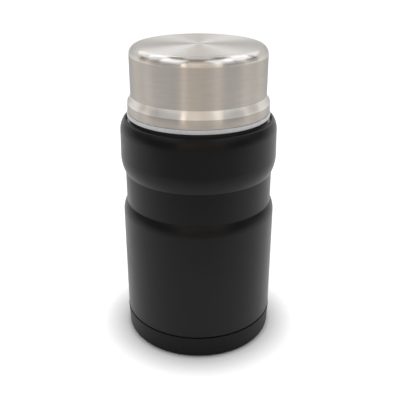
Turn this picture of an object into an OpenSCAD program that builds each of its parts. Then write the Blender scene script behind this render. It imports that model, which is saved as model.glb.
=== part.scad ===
// Insulated food jar: a double-walled steel vessel with a stepped black body, a foam-filled
// screw stopper with a push-button vent, and a double-walled steel cup that screws on over it.
// Millimetres, +Z up. The origin is the centre of the circle that the jar stands on.

/* [Body] */
// Outside diameter of the lower body
body_d = 95.2; // [79:0.1:115]
// Wall of the outer shell
body_wall = 0.6; // [0.4:0.05:1]
// Height of the band that the base cup shows
base_band_h = 14.9; // [12:0.1:20]
// Straight height of the lower body, from the base band to the waist's lower flare
lower_h = 69.4; // [50:0.1:110]
// How far the waist is pressed in from the lower body
waist_depth = 2.25; // [1:0.05:4]
// Straight height of the waist
waist_h = 19.5; // [12:0.1:30]
// Radius of the flare between the lower body and the waist
flare_r = 13.5; // [8:0.5:18]
// Radius of the rounding under the shoulder
under_r = 22; // [12:0.5:30]
// How far the shoulder stands out past the lower body
shoulder_proud = 0.2; // [0:0.05:0.6]
// Straight height of the shoulder
shoulder_h = 15.6; // [8:0.1:25]
// How much narrower the shoulder is at its top
shoulder_taper = 0.3; // [0:0.05:0.6]
// Radius of the slope above the shoulder
slope_r = 12; // [9:0.5:16]
// Rise of the slope, from the shoulder to the lip
slope_h = 7.2; // [5:0.1:8]
// Radius of the bead that the shoulder ends in
lip_round = 1; // [0.7:0.1:1.5]
// Depth of the flat inside the lip
lip_depth = 1.6; // [1:0.1:2.5]
// Height of the threaded neck, from the lip to the mouth
neck_h = 17.8; // [15:0.1:24]
// Radius of the shell's lower edge, above the groove
seam_round = 0.5; // [0.2:0.1:1]
// Fillet at the foot of the neck
neck_fillet = 1.5; // [0.8:0.1:2]

/* [Vacuum vessel] */
// Wall of the inner vessel
vessel_wall = 0.5; // [0.3:0.05:0.8]
// Vacuum gap between the waist and the inner vessel
vacuum_gap = 2.75; // [1.5:0.05:5]
// Vacuum gap between the two walls of the neck
neck_gap = 0.7; // [0.4:0.05:1.2]
// Height of the inner vessel's underside
vessel_floor_z = 16; // [13:0.5:20]
// Radius of the inner vessel's bottom corner, which a spoon follows
vessel_corner = 9; // [6:0.5:14]
// Gap between the inner vessel's shoulder and the flat above it
vessel_top_gap = 2.5; // [1.5:0.1:5]
// Thickness of the vessel's rim, which is turned out over the neck
rim_flange_t = 0.6; // [0.4:0.05:0.8]
// Thickness of the radiation foil
foil_t = 0.15; // [0.1:0.05:0.3]
// Height of the jacket's bottom above the base cup's floor
jacket_lift = 3.8; // [3:0.1:5]
// Height of the flange around the jacket's bottom
jacket_flange_h = 2.2; // [1.5:0.1:2.8]
// Radius of the dimple around the evacuation hole
dimple_r = 7; // [5:0.5:9]
// Height of the dimple
dimple_h = 2.5; // [1.5:0.1:3]
// Radius of the evacuation hole
pump_hole_r = 1; // [0.6:0.1:1.5]
// Radius of the bead of sealing glass
bead_r = 2.4; // [2:0.1:3]
// How far the bead's middle lies above the dimple's underside
bead_sink = 0.6; // [0.2:0.1:1]
// Distance of the getter from the axis
getter_place = 21; // [16:0.5:30]
// Radius of the getter pellet
getter_r = 5.6; // [4:0.1:7]
// Height of the getter pellet
getter_h = 1.8; // [1:0.1:2]
// Wall of the getter's holder
holder_wall = 0.4; // [0.3:0.05:0.6]
// Height of the getter's holder
holder_h = 2.6; // [2.6:0.1:4]

/* [Base] */
// How much narrower the base cup is at its foot
base_taper = 0.6; // [0:0.1:1.5]
// How far the base cup's top edge stands out past the lower body
base_proud = 0.2; // [0:0.05:0.5]
// Radius of the base cup's bottom edge
base_round = 2.3; // [1.5:0.1:3]
// Floor of the base cup
base_floor = 2.6; // [2:0.1:4]
// Width of the ring that the jar stands on
foot_w = 8; // [5:0.5:12]
// Depth of the recess inside the foot ring
foot_recess = 1.2; // [0.6:0.1:1.6]
// Smallest wall of the base cup
base_wall = 1.3; // [1:0.1:2]
// Radius of the base cup's top edge
base_edge = 0.4; // [0.2:0.1:0.8]
// Width of the groove between the base cup and the shell
seam_gap = 0.45; // [0.3:0.05:0.8]
// How far the foam pad stays clear of the dimple and the flange
pad_inset = 1.5; // [1:0.1:3]

/* [Cup] */
// Height of the cup, from the underside of its ring
cup_h = 41.3; // [36:0.1:60]
// Radial step from the shoulder's lip to the cup's ring
ring_inset = 1.5; // [1:0.1:3]
// Gap between the lip and the cup's ring
ring_lift = 1.5; // [1:0.1:3]
// Height of the ring's flange, which covers the steel edge
ring_flange_h = 2.5; // [1.5:0.1:4]
// How far the flange stands out past the steel band
ring_proud = 0.45; // [0.2:0.05:1]
// Shadow gap between the flange and the steel edge
edge_gap = 0.3; // [0.2:0.05:0.6]
// Straight height of the steel band around the ring
rim_h = 5.1; // [4:0.1:8]
// How far the band stands out past the cup's wall
rim_step = 2.05; // [1:0.05:3]
// Height of the S-shaped flare above the band
rim_flare_h = 4.7; // [4.2:0.1:7]
// Radius of the cup's top edge
top_round = 5.3; // [3:0.1:8]
// Wall of the cup's outer shell
cup_wall = 0.5; // [0.4:0.05:0.8]
// Wall of the cup's inner shell
liner_wall = 0.45; // [0.3:0.05:0.8]
// Air gap between the cup's two walls
cup_gap = 1.4; // [1:0.1:2]
// Air gap between the cup's two floors
cup_floor_gap = 2.2; // [1.5:0.1:4]
// Radius of the bowl's inside corner
bowl_round = 9; // [5:0.5:14]
// How far the bowl's edge lies below the top of the flare
liner_drop = 1.1; // [0.6:0.1:2]
// Width of the bowl's turned-out edge
liner_turn = 0.9; // [0.5:0.1:1.2]
// Wall of the thread ring
ring_wall = 2.9; // [2.5:0.1:4]
// Radius of the ring's outer edges
ring_edge = 0.5; // [0.3:0.1:1]
// Bevel at the mouth of the ring
ring_lead = 0.6; // [0.3:0.1:0.8]
// Width of the slope at the ring's top
ring_slope = 0.5; // [0.3:0.1:0.8]
// Thickness of the ledge under the bowl's edge
ledge_t = 0.8; // [0.6:0.1:1.5]
// Wall between the ring's bore and its gasket's groove
cup_seal_wall = 1; // [0.8:0.1:1.5]
// Width of the gasket's groove in the ring
cup_seal_w = 1.7; // [1.4:0.1:1.8]
// Depth of the gasket's groove in the ring
cup_seal_groove = 1.5; // [1:0.1:2]

/* [Threads] */
// Radial room for the cup's thread ridges
cup_thread_gap = 1.3; // [1:0.1:2]
// Radial room for the neck's thread ridges
neck_thread_gap = 1.2; // [1:0.1:2]

/* [Stopper] */
// Wall of the stopper's skirt
skirt_wall = 2.1; // [1.8:0.1:3]
// Height of the skirt's edge above the underside of the cup's ring
skirt_lift = 1.3; // [1:0.1:3]
// Bevel of the skirt's lower edge
skirt_edge = 0.6; // [0.3:0.1:1]
// Height of the smooth lower skirt, which carries the cup's thread
skirt_thread_h = 9; // [7:0.1:12]
// Gap between the grip and the bowl around it
grip_gap = 0.8; // [0.6:0.05:1.2]
// Number of grip scallops
grip_count = 36; // [24:2:48]
// Width of one scallop's cutter
grip_cutter_d = 3.2; // [2:0.1:4]
// Depth of a scallop
grip_depth = 0.6; // [0.3:0.05:0.9]
// Height of the scallops' ends above the thread
grip_lift = 1.2; // [0.6:0.1:3]
// Radius of the stopper's top edge
grip_round = 2; // [1:0.1:2.5]
// Height of the stopper's rim above the mouth
stopper_rise = 5.5; // [4:0.1:8]
// Depth of the dish in the stopper's top
dish_depth = 2.3; // [1:0.1:3]
// Width of the rim around the dish
dish_rim_w = 4.6; // [3:0.1:7]
// Width of the slope between the rim and the dish
dish_slope = 1.8; // [1:0.1:3]
// Thickness of the stopper's deck
deck_t = 2.2; // [1.6:0.1:3]
// Depth of the plug below the mouth
plug_depth = 25; // [20:0.5:32]
// Radial gap between the plug and the mouth
plug_gap = 0.6; // [0.4:0.05:1]
// Wall of the plug
plug_wall = 2.8; // [2.2:0.1:4]
// Height of the gasket's groove
gasket_h = 7; // [5:0.1:9]
// Depth of the gasket's groove
gasket_depth = 1.3; // [1:0.05:1.6]
// Height of the groove above the plug's end
gasket_lift = 2.5; // [2:0.1:5]
// Radius of the gasket's two lips
gasket_lip_r = 0.55; // [0.4:0.05:0.8]
// Thickness of the plug's bottom cover
plug_cover_t = 2.4; // [2:0.1:3]
// How far the cover is set in from the plug's wall
cover_inset = 0.2; // [0:0.1:0.5]
// Radius of the cover's edge
cover_round = 1.5; // [0.8:0.1:1.9]
// Wall of the rim that seats the cover in the plug
cover_rim_t = 1.4; // [1:0.1:2]
// Height of the rim that seats the cover in the plug
cover_rim_h = 3; // [2:0.1:5]

/* [Vent] */
// Diameter of the vent button
button_d = 17; // [14:0.5:22]
// Wall of the vent button
button_wall = 1.2; // [1:0.1:2]
// How far the button stands above the dish
button_rise = 3.8; // [3:0.1:5]
// Thickness of the button's roof
button_roof_t = 3.2; // [2:0.1:3.6]
// Radius of the button's top edge
button_edge = 1; // [0.5:0.1:1.5]
// Radius of the hollow for the finger
finger_r = 26; // [18:1:40]
// Depth of the hollow for the finger
finger_depth = 0.7; // [0.3:0.1:1.2]
// Length of the button's skirt below the dish
button_skirt = 5.7; // [3.5:0.1:7]
// Travel of the vent button, down to the well's floor
vent_travel = 2.5; // [1:0.1:2.6]
// Gap between the button and its well
well_gap = 0.5; // [0.3:0.05:0.8]
// Wall of the well
well_wall = 1.5; // [1.2:0.1:2]
// Thickness of the well's floor
web_t = 1.5; // [1:0.1:2.5]
// Height of the collar around the button
collar_h = 1.2; // [0.6:0.1:2]
// Bevel inside the collar's mouth
collar_lead = 0.3; // [0.1:0.1:0.6]
// Diameter of the button's stem
stem_d = 4.4; // [3:0.1:5]
// Gap between the stem and the hole in the well's floor
stem_gap = 0.5; // [0.3:0.05:0.8]
// Gap between the stem and the steam passage's wall
passage_gap = 1; // [0.8:0.1:1.5]
// Wall of the steam passage
tube_wall = 1.6; // [1.2:0.1:2.5]
// Depth of the stem's groove
stem_groove = 0.5; // [0.3:0.05:0.7]
// Length of the stem below its clip
stem_end = 1; // [0.6:0.1:2]
// Thickness of the clip
clip_t = 0.6; // [0.4:0.05:1]
// How far the clip stands out around the stem
clip_w = 1.8; // [1.2:0.1:2.5]
// Diameter of the valve disc
valve_d = 11.2; // [10:0.1:16]
// Thickness of the valve disc
valve_t = 1.8; // [1.2:0.1:2.5]
// Height of the seat that the valve closes on
seat_h = 0.5; // [0.3:0.1:1]
// Width of the seat that the valve closes on
seat_w = 1; // [0.6:0.1:1.5]
// Wire diameter of the vent spring
wire_d = 0.8; // [0.5:0.05:1.2]
// Mean diameter of the vent spring
coil_d = 10.4; // [8:0.1:12]
// Number of turns of the vent spring, with its closed ends
coil_turns = 6; // [4:1:7]

/* [Clearances] */
// Gap between pieces that move past each other
run_gap = 0.3; // [0.2:0.05:0.5]
// Gap around a gasket in its groove
seal_gap = 0.1; // [0.05:0.05:0.2]
// Gap around the foam in the plug
foam_gap = 0.15; // [0.1:0.05:0.3]
// Gap in a welded, glued or pressed seat
seat_gap = 0.02; // [0.01:0.01:0.05]

/* [Hidden] */
$fn = 144;
// Longer than any piece, for cuts that run out of it
far = 400;
// How far a cut runs past the face that it opens
over = 1;

// Radii of the body, from the outside in
body_r = body_d / 2;
waist_r = body_r - waist_depth;
shoulder_r = body_r + shoulder_proud;
shoulder_top_r = shoulder_r - shoulder_taper;

// Heights of the body, from the ground up
flare_z = base_band_h + lower_h;
waist_z = flare_z + arc_rise(flare_r, waist_depth);
waist_top_z = waist_z + waist_h;
under_z = waist_top_z + arc_rise(under_r, shoulder_r - waist_r);
slope_z = under_z + shoulder_h;
lip_z = slope_z + slope_h;
flat_z = lip_z - lip_depth;
mouth_z = lip_z + neck_h;

// The lip's bead touches the slope's arc from inside
slope_cx = shoulder_top_r - slope_r;
lip_cz = lip_z - lip_round;
lip_cx = slope_cx + sqrt(pow(slope_r - lip_round, 2) - pow(lip_cz - slope_z, 2));

// Radii of the cup, the threads and the mouth, from the lip in
ring_r = lip_cx - ring_inset;
rim_r = ring_r - ring_proud;
cup_r = rim_r - rim_step;
liner_r = cup_r - cup_wall - cup_gap;
ring_out_r = rim_r - cup_wall - seat_gap;
ring_bore_r = ring_out_r - ring_wall;
skirt_r = ring_bore_r - cup_thread_gap;
skirt_bore_r = skirt_r - skirt_wall;
grip_r = liner_r - liner_wall - grip_gap;
neck_r = skirt_bore_r - neck_thread_gap;
vessel_neck_r = neck_r - body_wall - neck_gap;
mouth_r = vessel_neck_r - vessel_wall;
plug_r = mouth_r - plug_gap;
plug_bore_r = plug_r - plug_wall;

// Inner vessel and foil
vessel_r = waist_r - body_wall - vacuum_gap;
vessel_top_z = flat_z - body_wall - vessel_top_gap;
foil_z = vessel_floor_z + vessel_corner;
foil_top_z = vessel_top_z - vessel_corner;

// Base: the shell's foot stands in the base cup
base_r = body_r + base_proud;
base_foot_r = base_r - base_taper;
foot_r = base_foot_r - base_wall;
base_top_z = base_band_h - seam_gap / 2;
shell_z = base_band_h + seam_gap / 2;
jacket_z = base_floor + jacket_lift;

// Cup
ring_z = lip_z + ring_lift;
cup_top_z = ring_z + cup_h;
edge_z = ring_z + ring_flange_h + edge_gap;
rim_top_z = edge_z + rim_h;
wall_z = rim_top_z + rim_flare_h;
flare_arc = (pow(rim_step, 2) + pow(rim_flare_h, 2)) / (4 * rim_step);
ring_top_z = rim_top_z - cup_wall;
liner_z = wall_z - liner_drop;
bowl_z = cup_top_z - cup_wall - cup_floor_gap;
cup_seal_in = ring_bore_r + cup_seal_wall;
cup_seal_out = cup_seal_in + cup_seal_w;

// Stopper
skirt_z = ring_z + skirt_lift;
grip_z = skirt_z + skirt_thread_h;
deck_z = mouth_z + run_gap;
stopper_top_z = mouth_z + stopper_rise;
dish_z = stopper_top_z - dish_depth;
dish_r = grip_r - dish_rim_w;
plug_z = mouth_z - plug_depth;
cover_z = plug_z - plug_cover_t;
groove_z = plug_z + gasket_lift;
cover_r = plug_r - cover_inset;

// Vent
button_r = button_d / 2;
well_r = button_r + well_gap;
well_out_r = well_r + well_wall;
well_z = dish_z - button_skirt - vent_travel - run_gap;
web_z = well_z - web_t;
collar_z = dish_z + collar_h;
stem_r = stem_d / 2;
stem_hole_r = stem_r + stem_gap;
tube_r = stem_r + passage_gap;
tube_out_r = tube_r + tube_wall;
seat_z = cover_z - seat_h;
valve_top_z = seat_z - run_gap;
valve_z = valve_top_z - valve_t;
clip_r = stem_r + clip_w;
clip_z = valve_z - seat_gap - clip_t;
stem_end_z = clip_z - stem_end;
button_top_z = dish_z + button_rise;
button_roof_z = button_top_z - button_roof_t;
coil_z = well_z + seat_gap;
coil_top_z = button_roof_z - seat_gap;

// Rise of an arc of radius r that starts upright and has moved in by d
function arc_rise(r, d) = sqrt(2 * r * d - d * d);

// Flat area from the axis to r, between two heights
module slab(r, z0, z1) {
    translate([0, z0]) square([r, z1 - z0]);
}

// Flat area of a wall between two radii and two heights
module wall(r0, r1, z0, z1) {
    translate([r0, z0]) square([r1 - r0, z1 - z0]);
}

// Flat area of a disc that keeps only what lies between two heights, outside the axis
module lobe(cx, cz, r, z0, z1) {
    intersection() {
        translate([cx, cz]) circle(r);
        translate([0, z0]) square([far, z1 - z0]);
    }
}

// Flat area of a straight or tapered stretch that an arc follows smoothly at its top, and at its
// foot too unless foot is false. It reaches a little way in under those arcs, so that they fuse.
module stretch(r0, r1, z0, z1, foot = true) {
    reach = 0.8;
    step = 0.4;
    polygon(concat(
        foot ? [[0, z0 - reach], [r0 - step, z0 - reach]] : [[0, z0]],
        [[r0, z0], [r1, z1], [r1 - step, z1 + reach], [0, z1 + reach]]
    ));
}

// Outline of the body from the shell's foot to the mouth, pressed in by t
module body_outline(t) {
    inside = t > 0;
    // foot and lower body, with a rounded lower edge above the groove
    edge = inside ? 0 : seam_round;
    slab(foot_r - t, inside ? -over : base_floor, shell_z + over);
    slab(body_r - t - edge, shell_z + t, flare_z);
    stretch(body_r - t, body_r - t, shell_z + t + edge, flare_z, foot = false);
    if (!inside)
        lobe(body_r - edge, shell_z + edge, edge, shell_z, shell_z + edge);
    // waist, between its two arcs
    lobe(body_r - flare_r, flare_z, flare_r - t, flare_z, waist_top_z);
    slab(waist_r - t, flare_z, under_z);
    lobe(shoulder_r - under_r, under_z, under_r - t, waist_z, under_z);
    // shoulder, slope and neck
    stretch(shoulder_r - t, shoulder_top_r - t, under_z, slope_z);
    if (inside) {
        lobe(slope_cx, slope_z, slope_r - t, slope_z, flat_z - t);
        slab(neck_r - t, slope_z, far);
    } else {
        lip_outline();
        neck_outline();
    }
}

// Slope of the shoulder up to its bead, and the flat inside the bead
module lip_outline() {
    tangent_z = slope_z + slope_r * (lip_cz - slope_z) / (slope_r - lip_round);
    difference() {
        union() {
            difference() {
                lobe(slope_cx, slope_z, slope_r, slope_z, tangent_z);
                slab(lip_cx, lip_cz, far);
            }
            translate([lip_cx, lip_cz]) circle(lip_round);
        }
        slab(lip_cx - lip_round, flat_z, far);
    }
}

// Neck, with a fillet at its foot
module neck_outline() {
    slab(neck_r, slope_z, mouth_z - rim_flange_t);
    difference() {
        slab(neck_r + neck_fillet, flat_z - body_wall, flat_z + neck_fillet);
        translate([neck_r + neck_fillet, flat_z + neck_fillet]) circle(neck_fillet);
    }
}

// Outer shell: one drawn steel tube with a threaded neck, welded to the inner vessel at the mouth
module outer_shell() {
    color("#1c1c1e")
    rotate_extrude()
    difference() {
        body_outline(0);
        body_outline(body_wall);
    }
}

// Outline of the inner vessel, pressed in by t
module vessel_outline(t) {
    slab(vessel_r - vessel_corner, vessel_floor_z + t, vessel_top_z - t);
    slab(vessel_r - t, vessel_floor_z + vessel_corner, vessel_top_z - vessel_corner);
    for (corner_z = [vessel_floor_z + vessel_corner, vessel_top_z - vessel_corner])
        translate([vessel_r - vessel_corner, corner_z]) circle(vessel_corner - t);
    slab(vessel_neck_r - t, vessel_floor_z + vessel_corner, mouth_z + (t > 0 ? over : 0));
}

// Inner vessel: it holds the food, and its rim is turned out over the neck
module inner_vessel() {
    color("#b9b6b1")
    rotate_extrude()
    union() {
        difference() {
            vessel_outline(0);
            vessel_outline(vessel_wall);
        }
        wall(mouth_r + rim_flange_t / 2, neck_r - rim_flange_t / 2, mouth_z - rim_flange_t, mouth_z);
        translate([neck_r - rim_flange_t / 2, mouth_z - rim_flange_t / 2]) circle(rim_flange_t / 2);
    }
}

// Bottom of the vacuum jacket: a plate with a welded flange and a dimple around the vent hole
module jacket_bottom() {
    color("#a9a7a2")
    rotate_extrude()
    difference() {
        union() {
            slab(foot_r - body_wall - seat_gap, jacket_z - jacket_flange_h, jacket_z + body_wall);
            slab(dimple_r, jacket_z, jacket_z + dimple_h + body_wall);
        }
        slab(foot_r - 2 * body_wall - seat_gap, jacket_z - jacket_flange_h - over, jacket_z);
        slab(dimple_r - body_wall, jacket_z - over, jacket_z + dimple_h);
        slab(pump_hole_r, jacket_z - over, far);
    }
}

// Bead of sealing glass that closes the hole after the air has been pumped out
module seal_bead() {
    dimple_z = jacket_z + dimple_h;
    color("#3c5a66")
    rotate_extrude() {
        slab(pump_hole_r - seat_gap, dimple_z - bead_sink, dimple_z + body_wall);
        lobe(0, dimple_z + bead_sink, bead_r, 0, dimple_z);
    }
}

// Foil wrapped around the inner vessel, which reflects its heat
module radiation_foil() {
    color("#c98a5a")
    rotate_extrude()
    wall(vessel_r + seat_gap, vessel_r + seat_gap + foil_t, foil_z, foil_top_z);
}

// Folded strip, spot-welded to the jacket's bottom, that holds the getter
module getter_holder() {
    tray_r = getter_r + seal_gap;
    color("#9c9a96")
    translate([getter_place, 0, jacket_z + body_wall])
    rotate_extrude()
    difference() {
        slab(tray_r + holder_wall, 0, holder_h);
        slab(tray_r, holder_wall, far);
    }
}

// Getter: it takes up the gas that the steel gives off into the vacuum
module getter_pellet() {
    color("#55534f")
    translate([getter_place, 0, jacket_z + body_wall + holder_wall])
    cylinder(r = getter_r, h = getter_h);
}

// Foam pad with glue on both faces, which bonds the base cup to the jacket's bottom
module base_pad() {
    color("#e8e4da")
    rotate_extrude()
    wall(dimple_r + pad_inset, foot_r - 2 * body_wall - pad_inset, base_floor, jacket_z);
}

// Base cup: a moulded cover for the shell's foot, with the ring that the jar stands on
module base_cup() {
    edge_z = base_top_z - base_edge;
    foot_in_r = base_foot_r - base_round / 2 - foot_w;
    color("#19191b")
    rotate_extrude()
    difference() {
        union() {
            slab(base_foot_r - base_round, 0, base_round);
            lobe(base_foot_r - base_round, base_round, base_round, 0, base_round);
            polygon([
                [0, base_round], [base_foot_r, base_round], [base_r, edge_z], [0, edge_z]
            ]);
            slab(base_r - base_edge, edge_z, base_top_z);
            lobe(base_r - base_edge, edge_z, base_edge, edge_z, base_top_z);
        }
        slab(foot_r + seat_gap, base_floor, far);
        polygon([
            [0, -over], [foot_in_r + foot_recess + over, -over],
            [foot_in_r, foot_recess], [0, foot_recess]
        ]);
    }
}

// Outline of the stopper's moulding, before the foam space, the well and the grip are cut
module stopper_outline() {
    // skirt over the neck, with the grip above its thread
    polygon([
        [skirt_bore_r, skirt_z], [skirt_r - skirt_edge, skirt_z], [skirt_r, skirt_z + skirt_edge],
        [skirt_r, grip_z - abs(skirt_r - grip_r)], [grip_r, grip_z], [skirt_bore_r, grip_z]
    ]);
    wall(skirt_bore_r, grip_r, grip_z, stopper_top_z - grip_round);
    // rim and deck
    wall(plug_bore_r, grip_r, deck_z, stopper_top_z - grip_round);
    wall(plug_bore_r, grip_r - grip_round, deck_z, stopper_top_z);
    lobe(grip_r - grip_round, stopper_top_z - grip_round, grip_round,
         stopper_top_z - grip_round, stopper_top_z);
    slab(plug_r, dish_z - deck_t, dish_z);
    // plug
    wall(plug_bore_r, plug_r, plug_z, deck_z);
}

// Well and tube in the middle of the stopper, which guide the vent button and its stem
module vent_tube_outline() {
    wall(stem_hole_r, well_out_r, web_z, well_z);
    wall(tube_r, tube_out_r, plug_z, web_z);
    polygon([
        [well_r, web_z], [well_out_r, web_z], [well_out_r, collar_z],
        [well_r + collar_lead, collar_z], [well_r, collar_z - collar_lead]
    ]);
}

// Stopper body: skirt, deck, plug wall and vent well in one moulding
module stopper_body() {
    color("#2b2c2f")
    difference() {
        rotate_extrude() {
            difference() {
                stopper_outline();
                slab(well_out_r - well_wall / 2, cover_z, far);
                polygon([
                    [0, dish_z], [dish_r - dish_slope, dish_z],
                    [dish_r, stopper_top_z], [dish_r, far], [0, far]
                ]);
                wall(plug_r - gasket_depth, plug_r + over, groove_z, groove_z + gasket_h);
            }
            vent_tube_outline();
        }
        for (i = [0 : grip_count - 1])
            rotate(i * 360 / grip_count)
            translate([grip_r + grip_cutter_d / 2 - grip_depth, 0, grip_z + grip_lift])
            cylinder(d = grip_cutter_d, h = far, $fn = 32);
    }
}

// Bottom cover of the plug, welded on over the foam, with the valve's seat
module stopper_plug() {
    color("#2b2c2f")
    rotate_extrude()
    difference() {
        union() {
            slab(cover_r, cover_z + cover_round, plug_z);
            slab(cover_r - cover_round, cover_z, plug_z);
            lobe(cover_r - cover_round, cover_z + cover_round, cover_round,
                 cover_z, cover_z + cover_round);
            wall(plug_bore_r - seat_gap - cover_rim_t, plug_bore_r - seat_gap, plug_z,
                 plug_z + cover_rim_h);
            slab(tube_r + seat_w, seat_z, cover_z);
        }
        slab(tube_r, seat_z - over, far);
    }
}

// Insulating foam inside the plug
module stopper_foam() {
    foam_r = plug_bore_r - foam_gap;
    foam_z = plug_z + foam_gap;
    foam_top_z = dish_z - deck_t - foam_gap;
    rim_in_r = foam_r - cover_rim_t;
    rim_top_z = foam_z + cover_rim_h;
    tube_side_r = tube_out_r + foam_gap;
    well_side_r = well_out_r + foam_gap;
    well_under_z = web_z - foam_gap;
    color("#efe9d2")
    rotate_extrude()
    polygon([
        [tube_side_r, foam_z], [rim_in_r, foam_z], [rim_in_r, rim_top_z], [foam_r, rim_top_z],
        [foam_r, foam_top_z], [well_side_r, foam_top_z], [well_side_r, well_under_z],
        [tube_side_r, well_under_z]
    ]);
}

// Gasket of the stopper, with two lips against the mouth
module stopper_gasket() {
    lip_place = mouth_r - run_gap - gasket_lip_r;
    color("#d9dad6")
    rotate_extrude() {
        wall(plug_r - gasket_depth + seal_gap, plug_r - seal_gap,
             groove_z + seal_gap, groove_z + gasket_h - seal_gap);
        for (share = [1 / 4, 3 / 4])
            translate([lip_place, groove_z + gasket_h * share]) circle(gasket_lip_r);
    }
}

// Vent button: a cap with a finger dish and a stem that runs down to the valve
module vent_button() {
    shoulder_z = button_top_z - button_edge;
    color("#8f9294")
    rotate_extrude()
    difference() {
        union() {
            slab(button_r, dish_z - button_skirt, shoulder_z);
            slab(button_r - button_edge, dish_z, button_top_z);
            lobe(button_r - button_edge, shoulder_z, button_edge, shoulder_z, button_top_z);
        }
        slab(button_r - button_wall, dish_z - button_skirt - over, button_roof_z);
        lobe(0, button_top_z - finger_depth + finger_r, finger_r, dish_z, far);
    }
    color("#8f9294")
    rotate_extrude()
    difference() {
        slab(stem_r, stem_end_z, button_roof_z + over);
        wall(stem_r - stem_groove, stem_r + over, clip_z, clip_z + clip_t);
    }
}

// Vent spring: a coil with closed ends, between the web and the button's roof
module vent_spring() {
    sides = 8;
    steps = 20;
    rings = coil_turns * steps;
    wire_r = wire_d / 2;
    // the first and last turn lie closed on their neighbours
    closed = wire_d + seat_gap;
    open_h = coil_top_z - coil_z - wire_d - 2 * closed;
    function share(turn) = min(max(turn - 1, 0), coil_turns - 2) / (coil_turns - 2);
    function rise(turn) = wire_r + closed * (min(turn, 1) + max(turn - coil_turns + 1, 0))
        + open_h * share(turn);
    points = [
        for (i = [0 : rings], k = [0 : sides - 1])
            let (
                turn = i / steps,
                around = 360 * turn,
                tilt = 360 * k / sides,
                r = coil_d / 2 + wire_r * cos(tilt)
            )
            [r * cos(around), r * sin(around), coil_z + rise(turn) + wire_r * sin(tilt)]
    ];
    sides_faces = [
        for (i = [0 : rings - 1], k = [0 : sides - 1])
            let (next = (k + 1) % sides, low = i * sides, high = (i + 1) * sides)
            [low + k, low + next, high + next, high + k]
    ];
    ends = [
        [for (k = [sides - 1 : -1 : 0]) k],
        [for (k = [0 : sides - 1]) rings * sides + k]
    ];
    color("#b5b8ba")
    polyhedron(points = points, faces = concat(sides_faces, ends), convexity = 8);
}

// Valve disc of soft silicone, under the seat
module vent_valve() {
    valve_r = valve_d / 2;
    bevel_z = valve_z + valve_t / 2;
    color("#d9dad6")
    rotate_extrude()
    difference() {
        polygon([
            [0, valve_z], [clip_r, valve_z], [valve_r, bevel_z],
            [valve_r, valve_top_z], [0, valve_top_z]
        ]);
        slab(stem_r + seat_gap, valve_z - over, far);
    }
}

// Spring clip in the stem's groove, which carries the valve
module vent_clip() {
    groove_r = stem_r - stem_groove;
    mouth_w = 2 * (groove_r - run_gap);
    color("#b5b8ba")
    translate([0, 0, clip_z + seat_gap / 2])
    difference() {
        cylinder(r = clip_r, h = clip_t - seat_gap);
        translate([0, 0, -over]) cylinder(r = groove_r + seat_gap, h = clip_t + 2 * over);
        translate([0, -mouth_w / 2, -over]) cube([clip_r + over, mouth_w, clip_t + 2 * over]);
    }
}

// Outline of the cup's outer shell, pressed in by t
module cup_outline(t) {
    low_z = t > 0 ? edge_z - over : edge_z;
    knee = (flare_arc - t) / (2 * flare_arc);
    knee_r = rim_r - flare_arc + knee * (cup_r - rim_r + 2 * flare_arc);
    knee_z = rim_top_z + knee * rim_flare_h;
    slab(rim_r - t, low_z, rim_top_z);
    difference() {
        union() {
            lobe(rim_r - flare_arc, rim_top_z, flare_arc - t, rim_top_z, knee_z);
            slab(knee_r, rim_top_z, wall_z);
        }
        translate([cup_r + flare_arc, wall_z]) circle(flare_arc + t);
    }
    slab(cup_r - t, rim_top_z, cup_top_z - top_round);
    translate([cup_r - top_round, cup_top_z - top_round]) circle(top_round - t);
    slab(cup_r - top_round, rim_top_z, cup_top_z - t);
}

// Outer shell of the cup: drawn steel, brushed around, flared over the thread ring
module cup_shell() {
    color("#b3ada6")
    rotate_extrude()
    difference() {
        cup_outline(0);
        cup_outline(cup_wall);
    }
}

// Outline of the cup's inner shell, pressed in by t
module liner_outline(t) {
    slab(liner_r - t, liner_z - (t > 0 ? over : 0), bowl_z - bowl_round);
    slab(liner_r - bowl_round, liner_z, bowl_z - t);
    translate([liner_r - bowl_round, bowl_z - bowl_round]) circle(bowl_round - t);
}

// Inner shell of the cup: the bowl, whose edge is turned out onto the thread ring
module cup_liner() {
    color("#b9b6b1")
    rotate_extrude() {
        difference() {
            liner_outline(0);
            liner_outline(liner_wall);
        }
        wall(liner_r - liner_wall / 2, liner_r + liner_turn, liner_z, liner_z + liner_wall);
    }
}

// Thread ring: a pale moulding inside the cup's band, whose flange covers the steel edge
module cup_ring() {
    low_z = ring_z + ring_edge;
    flange_z = ring_z + ring_flange_h;
    high_z = flange_z - ring_edge;
    color("#c4c4c1")
    rotate_extrude()
    difference() {
        union() {
            polygon([
                [0, high_z], [ring_out_r, high_z], [ring_out_r, ring_top_z],
                [liner_r + liner_turn + ring_slope, liner_z], [0, liner_z]
            ]);
            slab(ring_r, low_z, high_z);
            slab(ring_r - ring_edge, ring_z, flange_z);
            lobe(ring_r - ring_edge, low_z, ring_edge, ring_z, low_z);
            lobe(ring_r - ring_edge, high_z, ring_edge, high_z, flange_z);
        }
        slab(liner_r - liner_wall, 0, far);
        slab(ring_bore_r, 0, liner_z - ledge_t);
        polygon([
            [0, 0], [ring_bore_r + ring_lead, 0], [ring_bore_r + ring_lead, ring_z],
            [ring_bore_r, ring_z + ring_lead], [0, ring_z + ring_lead]
        ]);
        wall(cup_seal_in, cup_seal_out, 0, ring_z + cup_seal_groove);
    }
}

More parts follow.
